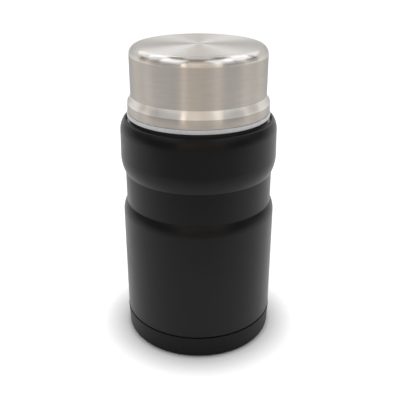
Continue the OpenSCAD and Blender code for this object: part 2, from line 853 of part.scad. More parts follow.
// Gasket of the cup: it sits in the ring's underside and closes on the flat inside the lip
module cup_gasket() {
    seal_r = (cup_seal_out - cup_seal_in) / 2 - seal_gap;
    middle = (cup_seal_in + cup_seal_out) / 2;
    foot_z = flat_z + run_gap;
    color("#151516")
    rotate_extrude() {
        wall(middle - seal_r, middle + seal_r, foot_z + seal_r, ring_z + cup_seal_groove - seal_gap);
        translate([middle, foot_z + seal_r]) circle(seal_r);
    }
}

outer_shell();
inner_vessel();
jacket_bottom();
radiation_foil();
getter_holder();
getter_pellet();
seal_bead();
base_pad();
base_cup();
stopper_body();
stopper_plug();
stopper_foam();
stopper_gasket();
vent_button();
vent_spring();
vent_valve();
vent_clip();
cup_shell();
cup_liner();
cup_ring();
cup_gasket();
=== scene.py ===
"""Insulated food jar: its finishes, its thread ridges and coiled spring, and the studio around it.

Metres, +Z up. The jar stands on the origin, and every finish is mixed from Object coordinates, so it
stays on its piece when the cup, the stopper and the vent button move.
"""

import math

import bpy
from mathutils import Matrix, Vector


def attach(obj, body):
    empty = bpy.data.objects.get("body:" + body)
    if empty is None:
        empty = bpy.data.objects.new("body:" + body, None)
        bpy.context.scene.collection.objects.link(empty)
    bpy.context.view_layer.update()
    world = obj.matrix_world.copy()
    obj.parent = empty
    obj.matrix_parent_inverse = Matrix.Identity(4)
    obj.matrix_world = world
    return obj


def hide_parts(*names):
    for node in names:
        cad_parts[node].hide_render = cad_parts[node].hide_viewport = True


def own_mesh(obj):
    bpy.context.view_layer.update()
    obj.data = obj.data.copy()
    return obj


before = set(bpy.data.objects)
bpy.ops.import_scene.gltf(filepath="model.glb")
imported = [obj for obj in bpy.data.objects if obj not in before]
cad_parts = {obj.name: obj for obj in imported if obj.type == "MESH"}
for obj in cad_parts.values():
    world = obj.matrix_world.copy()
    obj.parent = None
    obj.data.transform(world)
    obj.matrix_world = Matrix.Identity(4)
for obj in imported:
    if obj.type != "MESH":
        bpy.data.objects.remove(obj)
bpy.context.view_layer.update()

MM = 0.001

# ---------------------------------------------------------------------------------------------
# Sizes that the finishes, the threads and the spring follow, in metres
# ---------------------------------------------------------------------------------------------

FLAT_HEIGHT = 142.55 * MM  # flat inside the body's lip, where the coat ends
COAT_RADIUS = 42.6 * MM  # inner edge of the coat on that flat
NECK_RADIUS = 34.62 * MM
SKIRT_BORE = 35.82 * MM
SKIRT_RADIUS = 37.92 * MM
RING_BORE = 39.22 * MM
RIM_TOP = 153.55 * MM  # top of the cup's band, where its flare starts
WALL_FOOT = 158.25 * MM  # foot of the cup's wall, where its flare ends
CUP_TOP = 186.95 * MM
CUP_ROUND = 5.3 * MM  # radius of the cup's rolled top edge

THREAD_LEAD = 12.0 * MM  # three starts, 4 mm apart
THREAD_STARTS = 3
HALF_PITCH = THREAD_LEAD / THREAD_STARTS / 2
RIDGE_WIDTH = 1.5 * MM
CREST_SHARE = 0.42  # width of a ridge's crest, as a share of its root
RIDGE_SINK = 0.1 * MM  # how far a ridge is rooted in its wall
RIDGE_ROUND = 0.14 * MM  # radius of a ridge's edges
HELIX_STEPS = 72  # for each turn

SPRING_FOOT = 156.67 * MM
SPRING_TOP = 165.73 * MM
SPRING_RADIUS = 5.2 * MM
SPRING_WIRE = 0.8 * MM
SPRING_TURNS = 6
COIL_STEPS = 48  # for each turn
WIRE_SIDES = 16
COIL_GAP = 0.02 * MM  # between the turns at the spring's closed ends


# ---------------------------------------------------------------------------------------------
# Small helpers for node trees
# ---------------------------------------------------------------------------------------------

SHADING, GEOMETRY = "ShaderNodeTree", "GeometryNodeTree"
FLOAT, VECTOR, WHOLE = "NodeSocketFloat", "NodeSocketVector", "NodeSocketInt"
FINISH, SHAPE = "NodeSocketMaterial", "NodeSocketGeometry"


def put(tree, kind, ins, **settings):
    """Adds a node. A value in ins is a constant, or another node's socket to wire in."""
    made = tree.nodes.new(kind)
    for name, value in settings.items():
        setattr(made, name, value)
    for key, value in ins.items():
        if isinstance(value, bpy.types.NodeSocket):
            tree.links.new(value, made.inputs[key])
        else:
            made.inputs[key].default_value = value
    return made


def calc(tree, operation, a, b=0.0):
    """One step of arithmetic, as an output socket."""
    ins = {0: a} if operation in ("SQRT", "SINE", "COSINE") else {0: a, 1: b}
    return put(tree, "ShaderNodeMath", ins, operation=operation).outputs[0]


def vector_calc(tree, operation, a, b=(0.0, 0.0, 0.0)):
    """One step of vector arithmetic, as an output socket."""
    made = put(tree, "ShaderNodeVectorMath", {0: a, 1: b}, operation=operation)
    return made.outputs["Value" if operation == "DOT_PRODUCT" else "Vector"]


def spread(tree, value, low, high, to_low, to_high):
    """Value, moved from one range to another and kept inside it."""
    ins = {"Value": value, "From Min": low, "From Max": high, "To Min": to_low, "To Max": to_high}
    return put(tree, "ShaderNodeMapRange", ins).outputs["Result"]


def between(tree, value, low, high, fade):
    """Mask of 1 between two limits, which fades to 0 just inside each of them."""
    rising = spread(tree, value, low, low + fade, 0.0, 1.0)
    ending = spread(tree, value, high - fade, high, 1.0, 0.0)
    return calc(tree, "MULTIPLY", rising, ending)


def split(tree, place):
    """The three coordinates of a place."""
    return put(tree, "ShaderNodeSeparateXYZ", {0: place}).outputs


def joined(tree, x=0.0, y=0.0, z=0.0):
    """A place from its three coordinates."""
    return put(tree, "ShaderNodeCombineXYZ", {0: x, 1: y, 2: z}).outputs[0]


def from_axis(tree, spot):
    """Distance from the jar's axis."""
    squares = [calc(tree, "MULTIPLY", spot[index], spot[index]) for index in (0, 1)]
    return calc(tree, "SQRT", calc(tree, "ADD", *squares))


def to_world(tree, vector, kind):
    """A direction of the piece, turned as the piece is turned in the world."""
    settings = {"vector_type": kind, "convert_from": "OBJECT", "convert_to": "WORLD"}
    return put(tree, "ShaderNodeVectorTransform", {0: vector}, **settings).outputs[0]


def blend_colour(tree, factor, first, second):
    """Mix of two colours."""
    ins = {0: factor}
    for index, value in ((6, first), (7, second)):
        ins[index] = value if isinstance(value, bpy.types.NodeSocket) else (*value, 1.0)
    return put(tree, "ShaderNodeMix", ins, data_type="RGBA").outputs[2]


def noise(tree, vector, scale, detail, roughness):
    """Soft noise around 0.5."""
    ins = {"Vector": vector, "Scale": scale, "Detail": detail, "Roughness": roughness}
    return put(tree, "ShaderNodeTexNoise", ins).outputs[0]


def cells(tree, vector, scale):
    """Distance from the middle of each of many irregular cells."""
    ins = {"Vector": vector, "Scale": scale}
    return put(tree, "ShaderNodeTexVoronoi", ins, feature="F1").outputs["Distance"]


def bump(tree, height, strength, distance):
    """Bump from a height, as a normal."""
    ins = {"Height": height, "Strength": strength, "Distance": distance}
    return put(tree, "ShaderNodeBump", ins).outputs[0]


def new_tree(name, kind, inputs, outputs):
    """An empty node tree, with the named sockets that its nodes draw from and those that they fill."""
    tree = bpy.data.node_groups.new(name, kind)
    for label, socket_kind, value in inputs:
        socket = tree.interface.new_socket(name=label, in_out="INPUT", socket_type=socket_kind)
        if value is not None:
            socket.default_value = value
    for label, socket_kind in outputs:
        tree.interface.new_socket(name=label, in_out="OUTPUT", socket_type=socket_kind)
    return tree, tree.nodes.new("NodeGroupInput").outputs, tree.nodes.new("NodeGroupOutput").inputs


# ---------------------------------------------------------------------------------------------
# Effects that several finishes share
# ---------------------------------------------------------------------------------------------


def make_brush_marks():
    """Fine lines around the jar's axis, as a belt leaves them on turned steel."""
    tree, given, out = new_tree(
        "brush_marks",
        SHADING,
        [("Vector", VECTOR, None), ("Line Width", FLOAT, 0.16 * MM), ("Line Length", FLOAT, 3.0)],
        [("Lines", FLOAT), ("Bands", FLOAT)],
    )
    place = split(tree, given["Vector"])
    radius = from_axis(tree, place)
    safe_radius = calc(tree, "MAXIMUM", radius, 0.4 * MM)
    along = calc(tree, "DIVIDE", calc(tree, "SUBTRACT", place[2], radius), given["Line Width"])
    # the further around, the more the lines change
    turn = calc(tree, "DIVIDE", given["Line Length"], safe_radius)
    around_x = calc(tree, "MULTIPLY", place[0], turn)
    around_y = calc(tree, "MULTIPLY", place[1], turn)
    fine = joined(tree, around_x, around_y, along)
    # a band is about six lines wide
    wide = joined(tree, around_x, around_y, calc(tree, "MULTIPLY", along, 0.16))
    tree.links.new(noise(tree, fine, 1.0, 3.0, 0.6), out["Lines"])
    tree.links.new(noise(tree, wide, 1.0, 2.0, 0.5), out["Bands"])
    return tree


def make_grain():
    """Tiny irregular grain, such as a sprayed coat or a spark-eroded mould leaves."""
    tree, given, out = new_tree(
        "grain",
        SHADING,
        [("Vector", VECTOR, None), ("Size", FLOAT, 0.3 * MM), ("Unevenness", FLOAT, 0.5)],
        [("Height", FLOAT), ("Tone", FLOAT)],
    )
    scale = calc(tree, "DIVIDE", 1.0, given["Size"])
    fine = noise(tree, given["Vector"], scale, 2.0, 0.55)
    # under the fine grain lies one about five times as coarse
    coarse = noise(tree, given["Vector"], calc(tree, "MULTIPLY", scale, 0.21), 2.0, 0.5)
    mixed = calc(tree, "ADD", fine, calc(tree, "MULTIPLY", coarse, given["Unevenness"]))
    tree.links.new(mixed, out["Height"])
    tree.links.new(coarse, out["Tone"])
    return tree


def make_handling():
    """Faint smudges from use: 0 on clean places, up to 1 on touched ones."""
    tree, given, out = new_tree(
        "handling_marks",
        SHADING,
        [("Vector", VECTOR, None), ("Size", FLOAT, 30.0 * MM)],
        [("Smudge", FLOAT)],
    )
    cloud = noise(tree, given["Vector"], calc(tree, "DIVIDE", 1.0, given["Size"]), 4.0, 0.62)
    tree.links.new(spread(tree, cloud, 0.45, 0.72, 0.0, 1.0), out["Smudge"])
    return tree


BRUSH_MARKS = make_brush_marks()
GRAIN = make_grain()
HANDLING = make_handling()


def use(tree, group, ins):
    """Places a shared group in a material, and gives its outputs."""
    return put(tree, "ShaderNodeGroup", ins, node_tree=group).outputs


def start_finish(name, **constants):
    """A material with one Principled BSDF, and the object's own coordinates."""
    material = bpy.data.materials.new(name)
    material.use_nodes = True
    tree = material.node_tree
    tree.nodes.clear()
    skin = tree.nodes.new("ShaderNodeBsdfPrincipled")
    for key, value in constants.items():
        skin.inputs[key.replace("_", " ")].default_value = value
    put(tree, "ShaderNodeOutputMaterial", {"Surface": skin.outputs[0]})
    place = tree.nodes.new("ShaderNodeTexCoord").outputs["Object"]
    return material, tree, skin, place


def wire(tree, skin, **sockets):
    """Wires sockets into a skin's inputs."""
    for key, socket in sockets.items():
        tree.links.new(socket, skin.inputs[key.replace("_", " ")])


def around_axis(tree, place):
    """Direction around the jar's axis at each point, in world space."""
    cross = vector_calc(tree, "CROSS_PRODUCT", (0.0, 0.0, 1.0), place)
    return to_world(tree, vector_calc(tree, "NORMALIZE", cross), "VECTOR")


# ---------------------------------------------------------------------------------------------
# Finishes
# ---------------------------------------------------------------------------------------------

POLISHED = (0.86, 0.825, 0.78)  # colour of the cup's steel where it is buffed bright
GRAZING = (0.55, 0.56, 0.57, 1.0)  # share of its shine that brushed steel keeps at a flat angle
CORNER_WIDTH = 0.25 * MM  # width of the crisp corner between the cup's flare and its wall
MASK_EDGE = 0.1 * MM  # height over which the swell's mask fades


def swelled(tree, place, foot, corner, tilt):
    """Normal of a wall that swells from its foot up to a crisp corner, where it leans back by a tilt."""
    shape = tree.nodes.new("ShaderNodeNewGeometry").outputs["Normal"]
    spot = split(tree, place)
    outward = vector_calc(tree, "NORMALIZE", joined(tree, spot[0], spot[1]))
    corner_end = corner + CORNER_WIDTH
    lean = calc(
        tree,
        "MULTIPLY",
        spread(tree, spot[2], foot, corner, 0.0, math.tan(tilt)),
        spread(tree, spot[2], corner, corner_end, 1.0, 0.0),
    )
    leaning = vector_calc(tree, "ADD", outward, joined(tree, z=lean))
    smooth = vector_calc(tree, "NORMALIZE", to_world(tree, leaning, "NORMAL"))
    # only the outside takes the swell: the inside and the rim's edge face another way
    facing = spread(tree, vector_calc(tree, "DOT_PRODUCT", smooth, shape), 0.3, 0.5, 0.0, 1.0)
    level = between(tree, spot[2], foot - MASK_EDGE, corner_end + MASK_EDGE, MASK_EDGE)
    ins = {0: calc(tree, "MULTIPLY", facing, level), 4: shape, 5: smooth}
    return put(tree, "ShaderNodeMix", ins, data_type="VECTOR").outputs[1]


def brushed_steel(name, colour, dark, rough, anisotropy, line_width, relief, zones=(), swell=None):
    """Steel brushed around the axis, with lines that catch the light. Each zone is given as its lowest
    and highest place, the height over which it fades, its roughness, and how far it is polished."""
    material, tree, skin, place = start_finish(
        name, Metallic=1.0, Anisotropic=anisotropy, Anisotropic_Rotation=0.25, Specular_Tint=GRAZING
    )
    marks = use(tree, BRUSH_MARKS, {"Vector": place, "Line Width": line_width})
    smudge = use(tree, HANDLING, {"Vector": place, "Size": 50.0 * MM})["Smudge"]
    mean = calc(tree, "MULTIPLY", calc(tree, "ADD", marks["Lines"], marks["Bands"]), 0.5)
    steel = blend_colour(tree, spread(tree, mean, 0.38, 0.62, 0.0, 1.0), dark, colour)
    worn = calc(tree, "ADD", marks["Lines"], calc(tree, "MULTIPLY", smudge, 0.25))
    roughness = spread(tree, worn, 0.3, 0.95, rough - 0.03, rough + 0.05)
    height = split(tree, place)[2]
    for low, high, fade, zone_rough, polish in zones:
        zone = between(tree, height, low, high, fade)
        roughness = calc(tree, "ADD", roughness, calc(tree, "MULTIPLY", zone, zone_rough - rough))
        steel = blend_colour(tree, calc(tree, "MULTIPLY", zone, polish), steel, POLISHED)
    normal = bump(tree, marks["Lines"], relief, 0.04 * MM)
    if swell:
        tree.links.new(swelled(tree, place, *swell), normal.node.inputs["Normal"])
    tangent = around_axis(tree, place)
    wire(tree, skin, Base_Color=steel, Roughness=roughness, Tangent=tangent, Normal=normal)
    return material


def plain_steel(name, colour, rough):
    """Drawn and washed steel, with faint lines around and soft stains."""
    material, tree, skin, place = start_finish(name, Metallic=1.0)
    marks = use(tree, BRUSH_MARKS, {"Vector": place, "Line Width": 0.5 * MM, "Line Length": 1.2})
    smudge = use(tree, HANDLING, {"Vector": place, "Size": 40.0 * MM})["Smudge"]
    stained = tuple(c * 0.86 for c in colour)
    worn = calc(tree, "ADD", marks["Lines"], smudge)
    wire(
        tree,
        skin,
        Base_Color=blend_colour(tree, smudge, colour, stained),
        Roughness=spread(tree, worn, 0.3, 1.6, rough - 0.06, rough + 0.12),
        Normal=bump(tree, marks["Lines"], 0.06, 0.05 * MM),
    )
    return material


def moulded(name, colour, rough, grain_size, relief, specular, glow=0.0):
    """Moulded plastic or silicone with a fine grained skin."""
    material, tree, skin, place = start_finish(
        name, Specular_IOR_Level=specular, Subsurface_Weight=glow, Subsurface_Scale=2.0 * MM
    )
    grain = use(tree, GRAIN, {"Vector": place, "Size": grain_size})
    smudge = use(tree, HANDLING, {"Vector": place, "Size": 35.0 * MM})["Smudge"]
    lighter = tuple(min(1.0, c * 1.06 + 0.002) for c in colour)
    darker = tuple(c * 0.96 for c in colour)
    tone = spread(tree, grain["Tone"], 0.3, 0.7, 0.0, 1.0)
    wire(
        tree,
        skin,
        Base_Color=blend_colour(tree, tone, darker, lighter),
        Roughness=spread(tree, smudge, 0.0, 1.0, rough, rough + 0.08),
        Normal=bump(tree, grain["Height"], relief, 0.06 * MM),
    )
    return material


def black_coat():
    """Satin black coat on the body, with bare steel on the neck above the flat inside the lip."""
    material, tree, skin, place = start_finish("satin_black_coat", Specular_IOR_Level=0.20)
    grain = use(tree, GRAIN, {"Vector": place, "Size": 0.28 * MM, "Unevenness": 0.6})
    smudge = use(tree, HANDLING, {"Vector": place, "Size": 40.0 * MM})["Smudge"]
    lines = use(tree, BRUSH_MARKS, {"Vector": place, "Line Width": 0.4 * MM})["Lines"]
    spot = split(tree, place)
    above = spread(tree, spot[2], FLAT_HEIGHT - 0.1 * MM, FLAT_HEIGHT + 0.1 * MM, 0.0, 1.0)
    inside = spread(tree, from_axis(tree, spot), COAT_RADIUS, COAT_RADIUS + 0.3 * MM, 1.0, 0.0)
    bare = calc(tree, "MULTIPLY", above, inside)
    coat = blend_colour(tree, smudge, (0.0026, 0.0026, 0.0029), (0.0036, 0.0036, 0.0039))
    coat_rough = spread(tree, calc(tree, "ADD", grain["Tone"], smudge), 0.3, 1.5, 0.31, 0.38)
    steel_rough = spread(tree, lines, 0.3, 0.7, 0.24, 0.34)
    rough = calc(
        tree,
        "ADD",
        calc(tree, "MULTIPLY", coat_rough, calc(tree, "SUBTRACT", 1.0, bare)),
        calc(tree, "MULTIPLY", steel_rough, bare),
    )
    wire(
        tree,
        skin,
        Base_Color=blend_colour(tree, bare, coat, (0.56, 0.54, 0.51)),
        Metallic=bare,
        Roughness=rough,
        Normal=bump(tree, grain["Height"], 0.10, 0.04 * MM),
    )
    return material


def copper_foil():
    """Bright foil with the small wrinkles of hand wrapping."""
    material, tree, skin, place = start_finish("copper_foil", Metallic=1.0)
    folds = noise(tree, place, 160.0, 3.0, 0.6)
    wire(
        tree,
        skin,
        Base_Color=blend_colour(tree, folds, (0.72, 0.40, 0.25), (0.86, 0.55, 0.38)),
        Roughness=spread(tree, folds, 0.3, 0.7, 0.16, 0.3),
        Normal=bump(tree, folds, 0.5, 0.4 * MM),
    )
    return material


def cut_foam(name, colour, cell):
    """Closed-cell foam with its open cut cells, whose hollows carry painted shade."""
    material, tree, skin, place = start_finish(name, Specular_IOR_Level=0.2)
    depth = cells(tree, place, 1.0 / cell)
    # painted shade: the colour darkens towards the middle of each cell, where the bump sinks it
    darker = tuple(c * 0.72 for c in colour)
    wire(
        tree,
        skin,
        Base_Color=blend_colour(tree, spread(tree, depth, 0.1, 0.6, 0.0, 1.0), darker, colour),
        Roughness=spread(tree, depth, 0.0, 1.0, 0.75, 0.95),
        Normal=bump(tree, depth, 0.4, 0.3 * MM),
    )
    return material


def fused_glass():
    """Bead of dark sealing glass, with a few bubbles."""
    material, tree, skin, place = start_finish(
        "fused_glass", IOR=1.52, Transmission_Weight=0.35, Specular_IOR_Level=0.5
    )
    bubbles = noise(tree, place, 1400.0, 2.0, 0.5)
    wire(
        tree,
        skin,
        Base_Color=blend_colour(tree, bubbles, (0.05, 0.12, 0.15), (0.10, 0.20, 0.24)),
        Roughness=spread(tree, bubbles, 0.3, 0.7, 0.05, 0.14),
        Normal=bump(tree, bubbles, 0.08, 0.1 * MM),
    )
    return material


CUP_BRUSHED = 0.40  # roughness of the cup's steel where it is left brushed
CUP_STEEL = brushed_steel(
    "brushed_cup_steel",
    colour=(0.592, 0.550, 0.501),
    dark=(0.547, 0.507, 0.466),
    rough=CUP_BRUSHED,
    anisotropy=0.92,
    line_width=0.16 * MM,
    relief=0.05,
    zones=(
        # upper band, flare, lower and upper half of the rolled edge, and the round top
        (RIM_TOP - 3.0 * MM, WALL_FOOT, 2.0 * MM, 0.32, 0.0),
        (RIM_TOP, WALL_FOOT + 0.2 * MM, 0.3 * MM, CUP_BRUSHED, 1.0),
        (CUP_TOP - CUP_ROUND - 0.5 * MM, CUP_TOP - 2.9 * MM, 0.6 * MM, 0.27, 0.65),
        (CUP_TOP - 3.5 * MM, CUP_TOP - 0.05 * MM, 0.6 * MM, 0.19, 0.4),
        (CUP_TOP - 0.65 * MM, CUP_TOP + 1.0 * MM, 0.6 * MM, CUP_BRUSHED, 0.75),
    ),
    swell=(RIM_TOP - 4.0 * MM, WALL_FOOT - 0.1 * MM, math.radians(20.0)),
)
BOWL_STEEL = brushed_steel(
    "satin_bowl_steel",
    colour=(0.62, 0.60, 0.57),
    dark=(0.55, 0.53, 0.50),
    rough=0.32,
    anisotropy=0.5,
    line_width=0.3 * MM,
    relief=0.1,
)
VESSEL_STEEL = plain_steel("drawn_vessel_steel", (0.58, 0.56, 0.54), 0.26)
WIRE_STEEL = plain_steel("spring_wire", (0.62, 0.63, 0.64), 0.2)
BODY_COAT = black_coat()
# colour, roughness, size and relief of the grain, shine, and how far light shines through
BASE_BLACK = moulded("base_black", (0.0028, 0.0028, 0.0031), 0.40, 0.35 * MM, 0.22, 0.14)
RING_GREY = moulded("ring_grey", (0.60, 0.612, 0.63), 0.4, 0.3 * MM, 0.02, 0.45)
STOPPER_DARK = moulded("stopper_dark", (0.022, 0.023, 0.026), 0.38, 0.4 * MM, 0.2, 0.45)
BUTTON_GREY = moulded("button_grey", (0.2, 0.205, 0.21), 0.36, 0.35 * MM, 0.15, 0.45)
BLACK_SILICONE = moulded("black_silicone", (0.026, 0.026, 0.027), 0.5, 0.3 * MM, 0.12, 0.35)
CLEAR_SILICONE = moulded("milky_silicone", (0.66, 0.66, 0.63), 0.34, 0.5 * MM, 0.06, 0.4, 0.4)
FOIL = copper_foil()
PAD_FOAM = cut_foam("pad_foam", (0.72, 0.69, 0.60), 0.7 * MM)
PLUG_FOAM = cut_foam("plug_foam", (0.84, 0.79, 0.60), 0.5 * MM)
GETTER = cut_foam("getter_powder", (0.10, 0.097, 0.092), 0.2 * MM)
SEAL_GLASS = fused_glass()

NODE_FINISH = {
    "outer_shell": BODY_COAT,
    "inner_vessel": VESSEL_STEEL,
    "jacket_bottom": VESSEL_STEEL,
    "radiation_foil": FOIL,
    "getter_holder": VESSEL_STEEL,
    "getter_pellet": GETTER,
    "seal_bead": SEAL_GLASS,
    "base_pad": PAD_FOAM,
    "base_cup": BASE_BLACK,
    "stopper_body": STOPPER_DARK,
    "stopper_plug": STOPPER_DARK,
    "stopper_foam": PLUG_FOAM,
    "stopper_gasket": CLEAR_SILICONE,
    "vent_button": BUTTON_GREY,
    "vent_spring": WIRE_STEEL,
    "vent_valve": CLEAR_SILICONE,
    "vent_clip": WIRE_STEEL,
    "cup_shell": CUP_STEEL,
    "cup_liner": BOWL_STEEL,
    "cup_ring": RING_GREY,
    "cup_gasket": BLACK_SILICONE,
}
for node_name, finish in NODE_FINISH.items():
    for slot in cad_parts[node_name].material_slots:
        slot.material = finish


# ---------------------------------------------------------------------------------------------
# Pieces grown by Geometry Nodes
# ---------------------------------------------------------------------------------------------


def finish_shape(tree, geometry, finish):
    """Makes the copies real, smooths their shading and gives them a finish."""
    real = put(tree, "GeometryNodeRealizeInstances", {"Geometry": geometry}).outputs[0]
    smooth = put(tree, "GeometryNodeSetShadeSmooth", {"Geometry": real, "Shade Smooth": True}).outputs[0]
    return put(tree, "GeometryNodeSetMaterial", {"Geometry": smooth, "Material": finish}).outputs[0]


def grow(name, tree, values):
    """Runs a geometry tree with named values, and leaves its result as a plain mesh object."""
    holder = bpy.data.objects.new(name + "_holder", bpy.data.meshes.new(name + "_seed"))
    bpy.context.scene.collection.objects.link(holder)
    modifier = holder.modifiers.new("tree", "NODES")
    modifier.node_group = tree
    for item in tree.interface.items_tree:
        if item.in_out == "INPUT" and item.name in values:
            modifier[item.identifier] = values[item.name]
    bpy.context.view_layer.update()
    graph = bpy.context.evaluated_depsgraph_get()
    mesh = bpy.data.meshes.new_from_object(holder.evaluated_get(graph))
    holder.modifiers.remove(modifier)
    bpy.data.objects.remove(holder)
    mesh.name = name
    grown = bpy.data.objects.new(name, mesh)
    bpy.context.scene.collection.objects.link(grown)
    return grown


# ---------------------------------------------------------------------------------------------
# Thread ridges
# ---------------------------------------------------------------------------------------------


def make_thread_tree():
    """Ridges of a right-hand thread: one profile swept up a helix, once for each start."""
    tree, given, out = new_tree(
        "thread_ridges",
        GEOMETRY,
        [
            ("Radius", FLOAT, 35.0 * MM),
            ("Lead", FLOAT, THREAD_LEAD),
            ("Turns", FLOAT, 0.7),
            ("Foot Height", FLOAT, 0.0),
            ("Profile Depth", FLOAT, 0.8 * MM),
            ("Root Width", FLOAT, RIDGE_WIDTH),
            ("Crest Width", FLOAT, 0.6 * MM),
            ("Starts", WHOLE, THREAD_STARTS),
            ("Phase", FLOAT, 0.0),
            ("Run-out", FLOAT, 0.07),
            ("Finish", FINISH, None),
        ],
        [("Ridges", SHAPE)],
    )
    helix = put(
        tree,
        "GeometryNodeCurveSpiral",
        {
            "Resolution": HELIX_STEPS,
            "Rotations": given["Turns"],
            "Start Radius": given["Radius"],
            "End Radius": given["Radius"],
            "Height": calc(tree, "MULTIPLY", given["Lead"], given["Turns"]),
            "Reverse": True,
        },
    ).outputs[0]
    upright = put(tree, "GeometryNodeSetCurveNormal", {"Curve": helix}, mode="Z_UP").outputs[0]
    # the ridge grows out of its wall at one end and sinks back at the other
    along = tree.nodes.new("GeometryNodeSplineParameter").outputs["Factor"]
    rising = spread(tree, along, 0.0, given["Run-out"], 0.12, 1.0)
    falling = spread(tree, calc(tree, "SUBTRACT", 1.0, along), 0.0, given["Run-out"], 0.12, 1.0)
    size = calc(tree, "MINIMUM", rising, falling)
    profile = put(
        tree,
        "GeometryNodeCurvePrimitiveQuadrilateral",
        {
            "Height": given["Profile Depth"],
            "Bottom Width": given["Root Width"],
            "Top Width": given["Crest Width"],
            "Offset": 0.0,
        },
        mode="TRAPEZOID",
    ).outputs[0]
    turned = put(
        tree, "GeometryNodeTransform", {"Geometry": profile, "Rotation": (0.0, 0.0, math.pi / 2)}
    ).outputs[0]
    softened = put(
        tree,
        "GeometryNodeFilletCurve",
        {"Curve": turned, "Count": 3, "Radius": RIDGE_ROUND, "Limit Radius": True},
        mode="POLY",
    ).outputs[0]
    swept = put(
        tree,
        "GeometryNodeCurveToMesh",
        {"Curve": upright, "Profile Curve": softened, "Scale": size, "Fill Caps": True},
    ).outputs[0]
    seats = put(
        tree, "GeometryNodeMeshLine", {"Count": given["Starts"], "Offset": (0.0, 0.0, 0.0)}, mode="OFFSET"
    ).outputs[0]
    share = calc(tree, "DIVIDE", tree.nodes.new("GeometryNodeInputIndex").outputs[0], given["Starts"])
    angle = calc(tree, "ADD", calc(tree, "MULTIPLY", share, 2 * math.pi), given["Phase"])
    ins = {"Points": seats, "Instance": swept, "Rotation": joined(tree, z=angle)}
    copies = put(tree, "GeometryNodeInstanceOnPoints", ins).outputs[0]
    ins = {"Geometry": copies, "Translation": joined(tree, z=given["Foot Height"])}
    lifted = put(tree, "GeometryNodeTransform", ins).outputs[0]
    tree.links.new(finish_shape(tree, lifted, given["Finish"]), out["Ridges"])
    return tree


THREAD_TREE = make_thread_tree()


def cut_thread(name, body, finish, radius, depth, outward, foot, turns, phase=0.0):
    """One set of thread ridges on its body, standing outward or inward from a wall of that radius."""
    side = 1.0 if outward else -1.0
    # the tree's root is the profile's side towards the axis, so ridges that stand inward swap the two
    widths = (RIDGE_WIDTH, RIDGE_WIDTH * CREST_SHARE)
    root, crest = widths if outward else reversed(widths)
    values = {
        "Radius": radius + side * (depth - RIDGE_SINK) / 2,
        "Turns": turns,
        "Foot Height": foot,
        "Profile Depth": depth + RIDGE_SINK,
        "Root Width": root,
        "Crest Width": crest,
        "Phase": phase,
        "Finish": finish,
    }
    ridges = grow(name, THREAD_TREE, values)
    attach(ridges, body)


cut_thread(
    "neck_thread", "vessel", VESSEL_STEEL, NECK_RADIUS,
    depth=0.8 * MM, outward=True, foot=148.6 * MM, turns=0.72,
)
cut_thread(
    "stopper_inner_thread", "stopper", STOPPER_DARK, SKIRT_BORE,
    depth=0.8 * MM, outward=False, foot=148.9 * MM + HALF_PITCH, turns=0.7, phase=0.06,
)
cut_thread(
    "stopper_outer_thread", "stopper", STOPPER_DARK, SKIRT_RADIUS,
    depth=0.9 * MM, outward=True, foot=148.5 * MM, turns=0.46,
)
cut_thread(
    "cup_ring_thread", "cup", RING_GREY, RING_BORE,
    depth=0.9 * MM, outward=False, foot=147.9 * MM + HALF_PITCH, turns=0.44, phase=0.1,
)


# ---------------------------------------------------------------------------------------------
# The vent's spring
# ---------------------------------------------------------------------------------------------


def make_spring_tree():
    """A coil spring: one wire that climbs evenly, with its first and last turn closed."""
    tree, given, out = new_tree(
        "coil_spring",
        GEOMETRY,
        [
            ("Coil Radius", FLOAT, 5.0 * MM),
            ("Wire Radius", FLOAT, 0.4 * MM),
            ("Closed Rise", FLOAT, 0.8 * MM),
            ("Open Rise", FLOAT, 5.0 * MM),
            ("Turns", FLOAT, 6.0),
            ("Foot Height", FLOAT, 0.0),
            ("Steps", WHOLE, COIL_STEPS),
            ("Finish", FINISH, None),
        ],
        [("Spring", SHAPE)],
    )
    count = calc(tree, "ADD", calc(tree, "MULTIPLY", given["Turns"], given["Steps"]), 1.0)
    line = put(tree, "GeometryNodeCurvePrimitiveLine", {"End": (0.0, 0.0, 1.0)}).outputs[0]
    path = put(tree, "GeometryNodeResampleCurve", {"Curve": line, "Count": count}).outputs[0]
    turn = calc(tree, "DIVIDE", tree.nodes.new("GeometryNodeInputIndex").outputs[0], given["Steps"])
    last = calc(tree, "SUBTRACT", given["Turns"], 1.0)
    closed = calc(
        tree,
        "ADD",
        calc(tree, "MINIMUM", turn, 1.0),
        calc(tree, "MAXIMUM", calc(tree, "SUBTRACT", turn, last), 0.0),
    )
    climb = calc(
        tree,
        "ADD",
        calc(tree, "MULTIPLY", closed, given["Closed Rise"]),
        calc(tree, "MULTIPLY", spread(tree, turn, 1.0, last, 0.0, 1.0), given["Open Rise"]),
    )
    height = calc(tree, "ADD", calc(tree, "ADD", climb, given["Wire Radius"]), given["Foot Height"])
    angle = calc(tree, "MULTIPLY", turn, 2 * math.pi)
    spot = joined(
        tree,
        calc(tree, "MULTIPLY", calc(tree, "COSINE", angle), given["Coil Radius"]),
        calc(tree, "MULTIPLY", calc(tree, "SINE", angle), given["Coil Radius"]),
        height,
    )
    coil = put(tree, "GeometryNodeSetPosition", {"Geometry": path, "Position": spot}).outputs[0]
    ins = {"Resolution": WIRE_SIDES, "Radius": given["Wire Radius"]}
    section = put(tree, "GeometryNodeCurvePrimitiveCircle", ins).outputs[0]
    ins = {"Curve": coil, "Profile Curve": section, "Fill Caps": True}
    swept = put(tree, "GeometryNodeCurveToMesh", ins).outputs[0]
    tree.links.new(finish_shape(tree, swept, given["Finish"]), out["Spring"])
    return tree


